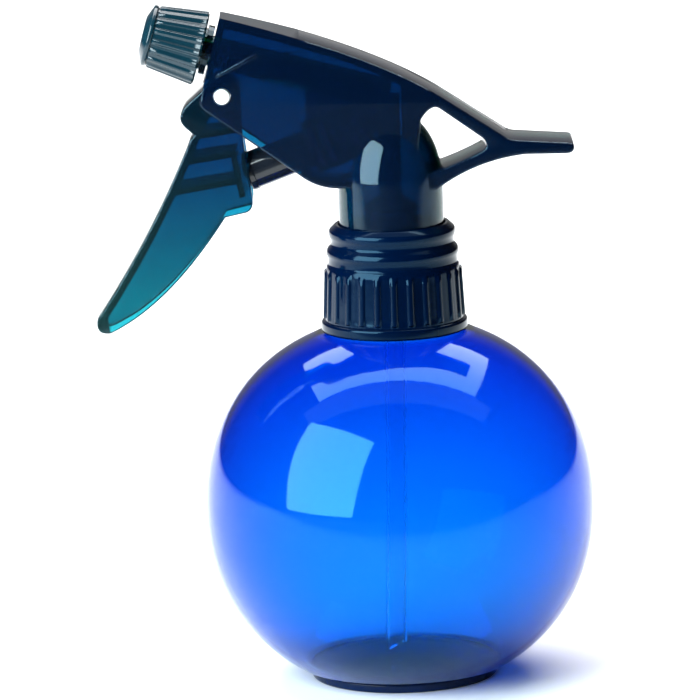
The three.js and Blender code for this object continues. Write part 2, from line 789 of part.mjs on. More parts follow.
// Side outline: top from nozzle to tail, then back along the tail, belly and lower edge.
function shroudOutline() {
  const shape = new THREE.Shape();
  shape.moveTo(-42.9, 138);
  shape.quadraticCurveTo(-43.6, 136, -41.6, 134.6);
  shape.lineTo(-20.6, 119.2);
  shape.quadraticCurveTo(-16.5, 115.9, -11, 116);
  shape.lineTo(10.5, 115);
  shape.quadraticCurveTo(19.5, 121.6, 31, 122.7);
  shape.lineTo(40.6, 122.6);
  shape.quadraticCurveTo(42.4, 122.7, 42.3, 124.2);
  shape.quadraticCurveTo(42.1, 125, 40.8, 125.1);
  shape.lineTo(29, 126);
  shape.quadraticCurveTo(27.4, 126.1, 26.2, 127.1);
  shape.lineTo(12.8, 136.1);
  shape.quadraticCurveTo(-3.9, 147.3, -38, 155.9);
  const loop = new THREE.Path();
  loop.moveTo(10.6, 134.2);
  loop.quadraticCurveTo(8.9, 133.9, 7.4, 131.4);
  loop.lineTo(6, 118);
  loop.lineTo(11.4, 119.7);
  loop.lineTo(21.3, 123.9);
  loop.quadraticCurveTo(22.9, 125.1, 21.6, 126.6);
  loop.lineTo(11.8, 133.8);
  shape.holes.push(loop);
  return shape;
}

// The hollow follows the top, ends behind the column and is open below for the trigger.
function shroudHollow() {
  const shape = new THREE.Shape();
  shape.moveTo(-36.9, 153.3);
  shape.lineTo(-40.25, 142);
  shape.lineTo(-46, 142);
  shape.lineTo(-46, 134.4);
  shape.lineTo(-22.4, 117);
  shape.lineTo(-19.8, 120.4);
  shape.quadraticCurveTo(-16, 117.4, -11, 117.4);
  shape.lineTo(3, 117.4);
  shape.lineTo(3, 139.2);
  shape.quadraticCurveTo(-8, 146.2, -36.9, 153.3);
  return shape;
}

function column(inset) {
  const radius = COLUMN_RADIUS - inset;
  const height = DOME_HEIGHT - inset;
  const bottom = inset > 0 ? COLUMN_BOTTOM_Z - 1 : COLUMN_BOTTOM_Z;
  const dome = [];
  const steps = 8;
  for (let i = 0; i <= steps; i++) {
    const angle = (i / steps) * (Math.PI / 2);
    dome.push([i === steps ? 0 : radius * Math.cos(angle), DOME_CENTRE_Z + height * Math.sin(angle)]);
  }
  return turned([[0, bottom], [radius, bottom], ...dome], 36);
}

// Two boxes that narrow the front of the head. Their inner faces rise from its lower front
// corner to the side's upper edge, and lean in from there.
function frontFlanks(inset) {
  const size = 60;
  return [-1, 1].map((side) =>
    new THREE.BoxGeometry(size, size, size)
      .translate(0, side * (size / 2 - inset), 0)
      .rotateX(side * FLANK_LEAN)
      .rotateZ(side * FLANK_TURN)
      .translate(FLANK_X, side * SHROUD_HALF_WIDTH, FLANK_Z),
  );
}

// A short raised rib on each side, in front of the pivot pin.
function sideRib() {
  return slab(
    polygon([
      [-39, 142.2],
      [-29.4, 147],
      [-29.8, 147.9],
      [-39.4, 143.1],
    ]),
    SHROUD_HALF_WIDTH,
  );
}

function shroud() {
  const outside = join(
    cut(slab(shroudOutline(), SHROUD_HALF_WIDTH), ...frontFlanks(0)),
    sideRib(),
    column(0),
  );
  const inside = join(
    cut(slab(shroudHollow(), SHROUD_HALF_WIDTH - SHROUD_WALL), ...frontFlanks(SHROUD_WALL - 0.1)),
    column(COLUMN_WALL),
  );
  const barrelHole = BARREL_RADIUS + BARREL_CLEARANCE;
  const slot = new THREE.BoxGeometry(16, 2 * barrelHole, 6).translate(-8, 0, -3);
  return cut(
    outside,
    inside,
    inFrame(bar(barrelHole, -6, 0, 24), nozzleFrame),
    inFrame(slot, nozzleFrame),
    inFrame(bar(PLUNGER_HEAD_RADIUS + PLUNGER_CLEARANCE, 6, CYLINDER_START, 24), plungerFrame),
    crossBar(PIN_HOLE_RADIUS, PIVOT_X, PIVOT_Z, SHROUD_HALF_WIDTH + 1),
  );
}

// ---- Scene --------------------------------------------------------------------------

const PLASTIC = {
  bottleBlue: { color: 0x1a5cff, roughness: 0.12, metalness: 0 },
  navy: { color: 0x0a1c46, roughness: 0.18, metalness: 0 },
  footNavy: { color: 0x060c22, roughness: 0.35, metalness: 0 },
  teal: { color: 0x0a5f78, roughness: 0.2, metalness: 0 },
  nozzleTeal: { color: 0x12495e, roughness: 0.25, metalness: 0 },
  black: { color: 0x0b0c10, roughness: 0.35, metalness: 0 },
  white: { color: 0xf0f0ec, roughness: 0.4, metalness: 0 },
  natural: { color: 0xd9e4ea, roughness: 0.35, metalness: 0 },
  tube: { color: 0xbcd8f4, roughness: 0.25, metalness: 0 },
  sealGrey: { color: 0x9aa0a6, roughness: 0.7, metalness: 0 },
  steel: { color: 0xb8bcc0, roughness: 0.25, metalness: 1 },
};

function piece(name, geometry, finish) {
  const mesh = new THREE.Mesh(geometry, new THREE.MeshStandardMaterial(finish));
  mesh.name = name;
  return mesh;
}

nozzleFrame.add(
  piece("outlet_valve", outletValve(), PLASTIC.white),
  piece("outlet_spring", outletSpring(), PLASTIC.steel),
  piece("swirl_insert", swirlInsert(), PLASTIC.white),
  piece("nozzle_seal", nozzleSeal(), PLASTIC.sealGrey),
  piece("nozzle_cap", nozzleCap(), PLASTIC.nozzleTeal),
);

plungerFrame.add(
  piece("piston", piston(), PLASTIC.black),
  piece("pressure_seal", lipSeal(PRESSURE_SEAL_START), PLASTIC.natural),
  piece("vent_seal", lipSeal(VENT_SEAL_START), PLASTIC.natural),
  piece("return_spring", returnSpring(), PLASTIC.steel),
);

const sprayBottle = new THREE.Group();
sprayBottle.add(
  piece("bottle", bottle(), PLASTIC.bottleBlue),
  piece("base_cup", baseCup(), PLASTIC.footNavy),
  piece("closure_collar", closureCollar(), PLASTIC.navy),
  piece("neck_gasket", neckGasket(), PLASTIC.sealGrey),
  piece("intake_body", intakeBody(), PLASTIC.natural),
  piece("inlet_ball", inletBall(), PLASTIC.steel),
  piece("dip_tube", dipTube(), PLASTIC.tube),
  piece("pump_body", pumpBody(), PLASTIC.navy),
  piece("shroud", shroud(), PLASTIC.navy),
  piece("trigger", trigger(), PLASTIC.teal),
  piece("pivot_pin", pivotPin(), PLASTIC.white),
  nozzleFrame,
  plungerFrame,
);

export default sprayBottle;
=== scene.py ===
"""A blue ball-shaped spray bottle with a dark trigger head, in soft studio light."""

import json
import math

import bmesh
import bpy
from mathutils import Matrix, Vector

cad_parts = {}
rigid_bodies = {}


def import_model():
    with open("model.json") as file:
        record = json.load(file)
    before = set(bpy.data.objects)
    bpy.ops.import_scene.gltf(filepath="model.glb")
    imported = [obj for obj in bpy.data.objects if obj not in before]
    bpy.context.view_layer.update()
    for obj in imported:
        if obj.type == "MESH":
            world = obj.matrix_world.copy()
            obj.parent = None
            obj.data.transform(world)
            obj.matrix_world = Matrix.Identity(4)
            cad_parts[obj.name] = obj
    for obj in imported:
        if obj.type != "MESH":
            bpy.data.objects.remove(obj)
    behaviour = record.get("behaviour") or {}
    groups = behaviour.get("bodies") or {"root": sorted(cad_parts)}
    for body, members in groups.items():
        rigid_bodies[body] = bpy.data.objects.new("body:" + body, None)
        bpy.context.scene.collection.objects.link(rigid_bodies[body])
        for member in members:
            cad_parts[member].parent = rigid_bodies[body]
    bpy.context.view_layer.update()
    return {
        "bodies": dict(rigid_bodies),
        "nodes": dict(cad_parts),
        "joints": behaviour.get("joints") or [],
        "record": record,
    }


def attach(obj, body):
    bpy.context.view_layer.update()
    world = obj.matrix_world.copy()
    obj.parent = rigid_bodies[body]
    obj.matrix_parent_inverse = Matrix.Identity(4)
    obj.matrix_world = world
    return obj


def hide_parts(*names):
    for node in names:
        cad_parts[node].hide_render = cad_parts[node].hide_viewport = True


# Lengths are in millimetres and become metres when a mesh is made.
MM = 0.001

# Bottle: its ball is a superellipse turned round Z, and its floor is pushed up in the middle
BALL_RADIUS = 45
BALL_HALF_HEIGHT = 43.5
BALL_CENTRE_Z = 40.5
BALL_POWER = 2.15
BALL_ROWS = 56
BOTTLE_SEGMENTS = 144
BOTTLE_WALL = 1.2
BOTTLE_BASE_Z = 2.3
BASE_RADIUS = 20.5
PUSH_UP = 0.9
PUSH_UP_HALFWAY = 0.7
HALFWAY_RADIUS = 10.2
NECK_RADIUS = 12.55
NECK_BORE_RADIUS = 10.7
NECK_MIDDLE_Z = 90
NECK_TOP_Z = 95.6
SHOULDER_RADIUS = 17.5

# The closure's screw thread, on the neck and inside the collar
NECK_THREAD_Z = 85
THREAD_SINK = 0.3
NECK_THREAD_CREST = 13.6
COLLAR_THREAD_ROOT = 14.45
COLLAR_THREAD_CREST = 12.95
CLOSURE_PITCH = 4.2
CLOSURE_THREAD = {"turns": 1.3, "root_width": 2, "crest_width": 0.9, "pitch": CLOSURE_PITCH}
STEPS_PER_TURN = 48
FADE_STEPS = 5

# Foot
CUP_RADIUS = 21.6
CUP_WALL = 2
CUP_FLOOR = 1.4
CUP_GAP = 0.3

# Closure collar: a rim, a tapered skirt with grip ribs, and two rings above it
COLLAR_BOTTOM_Z = 81.6
COLLAR_RIM_RADIUS = 16.9
COLLAR_BORE_RADIUS = 14.15
COLLAR_TOP_BORE_RADIUS = 12.4
COLLAR_FLANGE_RADIUS = 10.55
SKIRT_RADIUS = 16
SKIRT_TAPER = 0.5
SKIRT_BOTTOM_Z = 85.1
SKIRT_HEIGHT = 10.4
SKIRT_ROWS = 8
COLLAR_RIBS = 26
COLLAR_RIB_HEIGHT = 0.5
SEGMENTS_PER_RIB = 14

# Head
COLUMN_RADIUS = 12.1
COLUMN_BOTTOM_Z = 101
COLUMN_WALL = 1.5
DOME_CENTRE_Z = 116
DOME_HEIGHT = 17
SHROUD_HALF_WIDTH = 8.3
SHROUD_WALL = 1.3
SHROUD_ROUNDING = 0.55
SIDE_RIB_ROUNDING = 0.42
# The front of the head narrows forwards and upwards from this place on its flanks
FLANK_PLACE = (-15, 150.2)
FLANK_TAPER = math.atan(0.0744)
FLANK_LEAN = math.atan(0.1911)
FLANK_CUTTER = 60

# Trigger and pin
PIVOT = (-37.9, 138.1)
PIN_RADIUS = 1.8
PIN_HOLE_RADIUS = 2.05
PIN_HALF_LENGTH = 8.7
PIN_EDGE = 0.4
TRIGGER_HALF_WIDTH = 6.2
TRIGGER_WALL = 1.2
TRIGGER_ROUNDING = 0.45
TRIGGER_BOSS_RADIUS = 4.2
# The lower edge of each cross rib in the trigger's channel, as x, z at the front and at the back
TRIGGER_RIBS = ((-50, 127, -30, 130), (-50, 121.5, -35.2, 123.7), (-56, 114, -34.6, 117.4))
TRIGGER_RIB_HEIGHT = 1.6
PAD_HEIGHT = 9.4
PAD_THICKNESS = 1.4
PAD_SETBACK = 1.6

# Plunger, along its own axis from the nose
PLUNGER_NOSE = (-33.3, 0, 119.1)
PLUNGER_TILT = math.radians(20)
PLUNGER_RADIUS = 4.4
PLUNGER_NOSE_RADIUS = 4.6
PLUNGER_LENGTH = 22
PLUNGER_BORE_RADIUS = 3.3
PLUNGER_BORE_START = 8.2
SEAL_GROOVE_RADIUS = 3.85
SEAL_GROOVE_WIDTH = 2
SEAL_GROOVES = (16.6, 19.4)
PLUNGER_HOLE_RADIUS = 5.4

# Nozzle cap, along the spray axis from the end of the barrel
NOZZLE_PLACE = (-42.4, 0, 148.2)
NOZZLE_TILT = math.radians(16)
BARREL_RADIUS = 3.6
BARREL_ROOM = 0.4
CAP_RADIUS = 8.05
CAP_TAPER = 1.3
CAP_GRIP_LENGTH = 10.6
CAP_LENGTH = 14
CAP_BORE_RADIUS = 6
CAP_BORE_LENGTH = 11.6
CAP_FACE_RADIUS = 7.15
ORIFICE_RADIUS = 0.6
CAP_ROWS = 6
CAP_RIBS = 18
CAP_RIB_HEIGHT = 0.6
CAP_RIB_FADE = 0.08
CAP_THREAD_ROOT = 6.2
CAP_THREAD_CREST = 5.15
CAP_THREAD_START = 3.4
CAP_THREAD = {"turns": 1.8, "root_width": 1.2, "crest_width": 0.5, "pitch": 2.4}

# Dip tube
TUBE_RADIUS = 2.5
TUBE_BORE_RADIUS = 1.8
TUBE_TOP_Z = 95.6
TUBE_END_Z = 4.9
TUBE_BEND = 1.9
TUBE_SLANT = 1.1
TUBE_ROWS = 40
TUBE_SIDES = 28

# The nozzle's and the plunger's own frames: +Z is the spray direction and the way the plunger goes in.
NOZZLE_FRAME = Matrix.Translation(NOZZLE_PLACE) @ Matrix.Rotation(NOZZLE_TILT - math.pi / 2, 4, "Y")
PLUNGER_FRAME = Matrix.Translation(PLUNGER_NOSE) @ Matrix.Rotation(math.pi / 2 - PLUNGER_TILT, 4, "Y")

# Edges of the CAD nodes that are sharper than this stay sharp
CAD_SHARP_ANGLE = math.radians(30)

# Textures of moulded plastic, in features per metre, and the depth of its skin in metres
FLOW_SCALE = 45
WEAR_SCALE = 260
SKIN_SCALE = 700
SKIN_DEPTH = 0.0002

# The finish of the clear plastics of head and trigger
CLEAR_SKIN = {"transmission": 0.98, "roughness": (0.03, 0.09), "ior": 1.38, "gleam": (0.6, 0.85, 1)}

# Camera, in metres: far off, a little above the object, and rolled slightly
CAMERA_TARGET = Vector((-0.0105, 0, 0.0768))
CAMERA_CENTRE_Z = 0.08
CAMERA_ELEVATION = math.radians(10.8)
CAMERA_DISTANCE = 1.6
CAMERA_ROLL = math.radians(1.77)
CAMERA_LENS = 356
CAMERA_SENSOR = 36

# Floor, in metres: in front of the object, between these two Y values, white turns into a painted shade of
# dark grey
FLOOR_RADIUS = 6
FLOOR_PAINTED_SHADE_START = -0.2
FLOOR_PAINTED_SHADE_END = -0.36

# Room: its light everywhere and straight behind the object, and where the lighter part starts,
# as the Y of a direction of length 1
ROOM_LIGHT = 0.04
SKY_LIGHT = 0.4
SKY_EDGE = 0.8


# ---- Outlines ---------------------------------------------------------------


class Outline:
    """A closed line in one plane, of straight and curved stretches."""

    def __init__(self, x, y):
        self.points = [Vector((x, y))]

    def line(self, x, y):
        self.points.append(Vector((x, y)))
        return self

    def curve(self, control_x, control_y, x, y, steps=14):
        """A bend to x, y that leaves and arrives along the lines to its control point."""
        start = self.points[-1].copy()
        control = Vector((control_x, control_y))
        end = Vector((x, y))
        for i in range(1, steps + 1):
            t = i / steps
            self.points.append((1 - t) ** 2 * start + 2 * t * (1 - t) * control + t**2 * end)
        return self

    def arc(self, centre_x, centre_y, radius, start, end, steps=20):
        """Part of a circle, between two angles in degrees."""
        for i in range(steps + 1):
            angle = math.radians(start + (end - start) * i / steps)
            self.line(centre_x + radius * math.cos(angle), centre_y + radius * math.sin(angle))
        return self


def filleted(corners, steps=5):
    """The corners (x, y, fillet) of a closed outline, with each corner that has a fillet rounded."""
    points = []
    count = len(corners)
    for i, (x, y, *fillet) in enumerate(corners):
        corner = Vector((x, y))
        if not fillet:
            points.append((x, y))
            continue
        before = Vector(corners[i - 1][:2]) - corner
        after = Vector(corners[(i + 1) % count][:2]) - corner
        most = 0.49 * min(before.length, after.length)
        reach = min(fillet[0], most)
        start = corner + before.normalized() * reach
        end = corner + after.normalized() * reach
        for k in range(steps + 1):
            t = k / steps
            points.append(tuple((1 - t) ** 2 * start + 2 * t * (1 - t) * corner + t**2 * end))
    return points


# ---- Mesh builders ------------------------------------------------------------


def object_from(name, mesh_data, matrix=Matrix.Identity(4), smooth_angle=32):
    """A new object of a bmesh in millimetres, moved by a matrix in millimetres, then in metres."""
    bmesh.ops.recalc_face_normals(mesh_data, faces=mesh_data.faces)
    mesh = bpy.data.meshes.new(name)
    mesh_data.to_mesh(mesh)
    mesh_data.free()
    mesh.transform(Matrix.Scale(MM, 4) @ matrix)
    made = bpy.data.objects.new(name, mesh)
    bpy.context.scene.collection.objects.link(made)
    shade_smooth(made, smooth_angle)
    return made


def shade_smooth(piece, angle):
    """Shades faces smooth, with edges over an angle in degrees kept sharp."""
    piece.data.polygons.foreach_set("use_smooth", [True] * len(piece.data.polygons))
    piece.data.set_sharp_from_angle(angle=math.radians(angle))


def turned(name, outline, segments=96, matrix=Matrix.Identity(4), ribs=0, rib=None, smooth_angle=32):
    """An outline of (radius, z) or (radius, z, rib height) turned round Z.

    rib(phase) is the section of a rib: its share of the height, for a phase of 0 to 1 over the pitch.
    """
    data = bmesh.new()
    rings = []
    for radius, z, *height in outline:
        if radius < 1e-6:
            rings.append([data.verts.new((0, 0, z))])
            continue
        ring = []
        for i in range(segments):
            angle = 2 * math.pi * i / segments
            swell = height[0] * rib((angle * ribs / (2 * math.pi)) % 1) if height else 0
            reach = radius + swell
            ring.append(data.verts.new((reach * math.cos(angle), reach * math.sin(angle), z)))
        rings.append(ring)
    closes = len(rings[0]) > 1
    pairs = list(zip(rings, rings[1:])) + ([(rings[-1], rings[0])] if closes else [])
    for lower, upper in pairs:
        for i in range(segments):
            k = (i + 1) % segments
            below = [lower[i % len(lower)], lower[k % len(lower)]]
            above = [upper[k % len(upper)], upper[i % len(upper)]]
            data.faces.new(list(dict.fromkeys(below + above)))
    return object_from(name, data, matrix, smooth_angle)


def slab(name, outlines, half_width, rounding=0.0):
    """A plate with rounded edges and its outlines in the XZ plane: the outer one, then any holes."""
    curve = bpy.data.curves.new(name, "CURVE")
    curve.dimensions = "2D"
    curve.fill_mode = "BOTH"
    curve.extrude = half_width - rounding
    curve.bevel_depth = rounding
    curve.bevel_resolution = 3
    curve.offset = -rounding
    for outline in outlines:
        points = outline.points
        spline = curve.splines.new("POLY")
        spline.points.add(len(points) - 1)
        spline.use_cyclic_u = True
        for point, place in zip(spline.points, points):
            point.co = (place.x, place.y, 0, 1)
    holder = bpy.data.objects.new(name, curve)
    bpy.context.scene.collection.objects.link(holder)
    bpy.context.view_layer.update()
    mesh = bpy.data.meshes.new_from_object(holder.evaluated_get(bpy.context.evaluated_depsgraph_get()))
    bpy.data.objects.remove(holder)
    data = bmesh.new()
    data.from_mesh(mesh)
    bmesh.ops.remove_doubles(data, verts=data.verts, dist=0.002)
    return object_from(name, data, Matrix.Rotation(math.pi / 2, 4, "X"), 25)


def box(name, size, matrix):
    """A box, for cutting others with."""
    data = bmesh.new()
    bmesh.ops.create_cube(data, size=1, matrix=matrix @ Matrix.Diagonal((*size, 1)))
    return object_from(name, data)


def bar(name, radius, bottom, top, matrix=Matrix.Identity(4), segments=48):
    """A round bar along Z."""
    return turned(name, [(0, bottom), (radius, bottom), (radius, top), (0, top)], segments, matrix)


def cross_bar(name, radius, x, z, half_length):
    """A round bar along Y."""
    frame = Matrix.Translation((x, 0, z)) @ Matrix.Rotation(math.pi / 2, 4, "X")
    return bar(name, radius, -half_length, half_length, frame)


def combined(target, operation, *tools, smooth_angle=25):
    """target with the tools joined to it or cut from it. The tools are used up."""
    for tool in tools:
        modifier = target.modifiers.new(operation.lower(), "BOOLEAN")
        modifier.operation = operation
        modifier.solver = "EXACT"
        modifier.object = tool
    bpy.context.view_layer.update()
    mesh = bpy.data.meshes.new_from_object(target.evaluated_get(bpy.context.evaluated_depsgraph_get()))
    target.modifiers.clear()
    target.data = mesh
    for tool in tools:
        bpy.data.objects.remove(tool)
    shade_smooth(target, smooth_angle)
    return target


def merged(target, *others):
    """target with the other objects' meshes added to its own, without joining the surfaces."""
    data = bmesh.new()
    for piece in (target, *others):
        data.from_mesh(piece.data)
    data.to_mesh(target.data)
    data.free()
    for piece in others:
        bpy.data.objects.remove(piece)
    return target


def screw_ridge(name, root, crest, start, turns, root_width, crest_width, pitch, matrix=Matrix.Identity(4)):
    """A screw thread's ridge round Z, with rounded edges, that fades in and out at its ends."""
    data = bmesh.new()
    steps = round(STEPS_PER_TURN * turns)
    rise = [(-root_width / 2, 0), (-crest_width / 2, 0.85)]
    fall = [(crest_width / 2, 0.85), (root_width / 2, 0)]
    section = [*rise, (0, 1), *fall]
    rings = []
    for i in range(steps + 1):
        angle = 2 * math.pi * turns * i / steps
        fade = min(1, min(i, steps - i) / FADE_STEPS)
        ring = []
        for along, share in section:
            radius = root + (crest - root) * share * (0.3 + 0.7 * fade)
            z = start + along + pitch * angle / (2 * math.pi)
            ring.append(data.verts.new((radius * math.cos(angle), radius * math.sin(angle), z)))
        rings.append(ring)
    for first, second in zip(rings, rings[1:]):
        for k in range(len(section)):
            n = (k + 1) % len(section)
            data.faces.new([first[k], first[n], second[n], second[k]])
    data.faces.new(rings[0])
    data.faces.new(rings[-1])
    return object_from(name, data, matrix, 40)


# ---- Materials ------------------------------------------------------------------


class Finish:
    """A material with its node tree and its Principled shader."""

    def __init__(self, name):
        self.material = bpy.data.materials.new(name)
        self.material.use_nodes = True
        self.nodes = self.material.node_tree.nodes
        self.links = self.material.node_tree.links
        self.shader = self.nodes["Principled BSDF"]

    def set(self, socket, value):
        self.shader.inputs[socket].default_value = value

    def noise(self, scale, detail=3):
        """Noise in the shared frame, with scale in features per metre."""
        place = self.nodes.new("ShaderNodeTexCoord")
        noise = self.nodes.new("ShaderNodeTexNoise")
        noise.inputs["Scale"].default_value = scale
        noise.inputs["Detail"].default_value = detail
        self.links.new(place.outputs["Object"], noise.inputs["Vector"])
        return noise.outputs["Fac"]

    def along(self, axis, start, end):
        """A share that goes from 0 to 1 between two places on an axis, in metres."""
        place = self.nodes.new("ShaderNodeTexCoord")
        split = self.nodes.new("ShaderNodeSeparateXYZ")
        share = self.nodes.new("ShaderNodeMapRange")
        share.inputs["From Min"].default_value = start
        share.inputs["From Max"].default_value = end
        self.links.new(place.outputs["Object"], split.inputs["Vector"])
        self.links.new(split.outputs[axis], share.inputs["Value"])
        return share.outputs["Result"]

    def colour(self, share, first, last):
        """Mixes two colours by a share."""
        mix = self.nodes.new("ShaderNodeMix")
        mix.data_type = "RGBA"
        mix.inputs["A"].default_value = (*first, 1)
        mix.inputs["B"].default_value = (*last, 1)
        self.links.new(share, mix.inputs["Factor"])
        self.links.new(mix.outputs["Result"], self.shader.inputs["Base Color"])

    def roughness(self, noise, low, high):
        """Spreads the middle of a noise's values over a range of roughness."""
        spread = self.nodes.new("ShaderNodeMapRange")
        spread.inputs["From Min"].default_value = 0.3
        spread.inputs["From Max"].default_value = 0.7
        spread.inputs["To Min"].default_value = low
        spread.inputs["To Max"].default_value = high
        self.links.new(noise, spread.inputs["Value"])
        self.links.new(spread.outputs["Result"], self.shader.inputs["Roughness"])

    def bump(self, height, strength, distance):
        bump = self.nodes.new("ShaderNodeBump")
        bump.inputs["Strength"].default_value = strength
        bump.inputs["Distance"].default_value = distance
        self.links.new(height, bump.inputs["Height"])
        self.links.new(bump.outputs["Normal"], self.shader.inputs["Normal"])

    def absorb(self, colour, density):
        """Takes colour out of light by the depth of plastic that it crosses. Density is per metre."""
        volume = self.nodes.new("ShaderNodeVolumeAbsorption")
        volume.inputs["Color"].default_value = (*colour, 1)
        volume.inputs["Density"].default_value = density
        self.links.new(volume.outputs["Volume"], self.nodes["Material Output"].inputs["Volume"])


def plastic_skin(name, transmission=0.0, roughness=(0.08, 0.16), bump=0.06, ior=1.49, gleam=(1, 1, 1)):
    """Plastic without its colour: uneven gloss, a faint skin texture and the tint of its reflections."""
    finish = Finish(name)
    finish.roughness(finish.noise(WEAR_SCALE, 4), *roughness)
    finish.bump(finish.noise(SKIN_SCALE, 2), bump, SKIN_DEPTH)
    finish.set("IOR", ior)
    finish.set("Specular Tint", (*gleam, 1))
    finish.set("Transmission Weight", transmission)
    return finish


def moulded_plastic(name, dark, light, **skin):
    """Plastic with the flow marks of moulding in its colour."""
    finish = plastic_skin(name, **skin)
    finish.colour(finish.noise(FLOW_SCALE, 2), dark, light)
    return finish


def bottle_plastic():
    """Clear blue plastic with a slightly wavy surface, its colour lighter low on the ball as a painted
    reflection of the bright floor and deeper towards the shoulder as painted shade.
    """
    finish = Finish("bottle_blue")
    # Painted light: the pale colour low on the ball is a painted reflection of the floor, and the deeper
    # blue near the shoulder is painted shade.
    finish.colour(finish.along("Z", 0.012, 0.08), (0.5, 1, 1), (0.3, 0.42, 0.85))
    finish.roughness(finish.noise(90), 0.03, 0.07)
    finish.bump(finish.noise(30, 1), 0.12, 0.0006)
    finish.set("IOR", 1.38)
    finish.set("Specular Tint", (0.2, 0.9, 1, 1))
    finish.set("Transmission Weight", 1)
    finish.absorb((0, 0.7, 0.92), 2700)
    return finish


def foot_plastic():
    """Dull navy plastic that reflects little."""
    return moulded_plastic("foot_navy", (0, 0.005, 0.025), (0.001, 0.012, 0.055), ior=1.25)


def head_plastic():
    """Clear navy plastic, near black where it is thick."""
    finish = moulded_plastic("head_navy", (0.01, 0.1, 0.5), (0.02, 0.2, 0.75), **CLEAR_SKIN)
    finish.absorb((0, 0.86, 0.72), 3500)
    return finish


def collar_plastic():
    """Navy plastic with bluish reflections, through which hardly any light comes."""
    skin = {"transmission": 0.1, "ior": 1.29, "gleam": (0.3, 0.7, 1)}
    return moulded_plastic("collar_navy", (0, 0.001, 0.008), (0, 0.006, 0.03), **skin)


def trigger_plastic():
    """Clear teal plastic, bluer towards the pivot."""
    finish = plastic_skin("trigger_teal", **CLEAR_SKIN)
    finish.colour(finish.along("Z", 0.09, 0.124), (0.15, 0.8, 0.82), (0.05, 0.3, 0.58))
    finish.absorb((0, 0.76, 0.8), 3600)
    return finish


def nozzle_plastic():
    """Dark teal plastic that lets a little light through."""
    return moulded_plastic("nozzle_teal", (0.001, 0.015, 0.026), (0.004, 0.032, 0.05), transmission=0.2)


def plunger_plastic():
    """Glossy black plastic."""
    return moulded_plastic("plunger_black", (0.003, 0.004, 0.008), (0.01, 0.014, 0.02))


def pin_plastic():
    """Dull white plastic."""
    return moulded_plastic("pin_white", (0.78, 0.79, 0.78), (0.88, 0.88, 0.86), roughness=(0.3, 0.45))


def inner_plastic():
    """Uncoloured, milky plastic."""
    skin = {"transmission": 0.2, "roughness": (0.25, 0.4)}
    return moulded_plastic("inner_natural", (0.55, 0.66, 0.72), (0.7, 0.8, 0.85), **skin)


def tube_plastic():
    """Clear plastic with weak reflections."""
    skin = {"transmission": 1, "roughness": (0.05, 0.12), "ior": 1.25}
    return moulded_plastic("tube_clear", (0.85, 0.92, 0.97), (0.92, 0.97, 1), **skin)


def seal_rubber():
    """Dull grey rubber."""
    skin = {"roughness": (0.5, 0.7), "bump": 0.2}
    return moulded_plastic("seal_grey", (0.3, 0.32, 0.34), (0.42, 0.44, 0.46), **skin)


def spring_steel():
    """Drawn steel wire with fine scratches."""
    finish = Finish("spring_steel")
    finish.colour(finish.noise(300), (0.42, 0.43, 0.45), (0.66, 0.67, 0.69))
    finish.roughness(finish.noise(900), 0.18, 0.35)
    finish.set("Metallic", 1)
    return finish


def make_materials():
    """The material of each of the record's slots."""
    finishes = {
        "bottle_blue": bottle_plastic(),
        "foot_navy": foot_plastic(),
        "head_navy": head_plastic(),
        "collar_navy": collar_plastic(),
        "trigger_teal": trigger_plastic(),
        "nozzle_teal": nozzle_plastic(),
        "plunger_black": plunger_plastic(),
        "pin_white": pin_plastic(),
        "inner_natural": inner_plastic(),
        "tube_clear": tube_plastic(),
        "seal_grey": seal_rubber(),
        "steel": spring_steel(),
    }
    return {slot: finish.material for slot, finish in finishes.items()}


# ---- Bottle and foot ---------------------------------------------------------------


def ball_points(from_angle, to_angle, inset):
    """Points (radius, z) of the ball's section, inset from its outside, from one angle to another."""
    points = []
    for i in range(BALL_ROWS + 1):
        angle = from_angle + (to_angle - from_angle) * i / BALL_ROWS
        radius = (BALL_RADIUS - inset) * math.cos(angle) ** (2 / BALL_POWER)
        rise = (BALL_HALF_HEIGHT - inset) * abs(math.sin(angle)) ** (2 / BALL_POWER)
        points.append((radius, BALL_CENTRE_Z + math.copysign(rise, angle)))
    return points


def ball_angle_at_radius(radius, inset):
    return math.acos((radius / (BALL_RADIUS - inset)) ** (BALL_POWER / 2))


def ball_angle_at_height(height, inset):
    rise = height - BALL_CENTRE_Z
    share = (abs(rise) / (BALL_HALF_HEIGHT - inset)) ** (BALL_POWER / 2)
    return math.copysign(math.asin(share), rise)


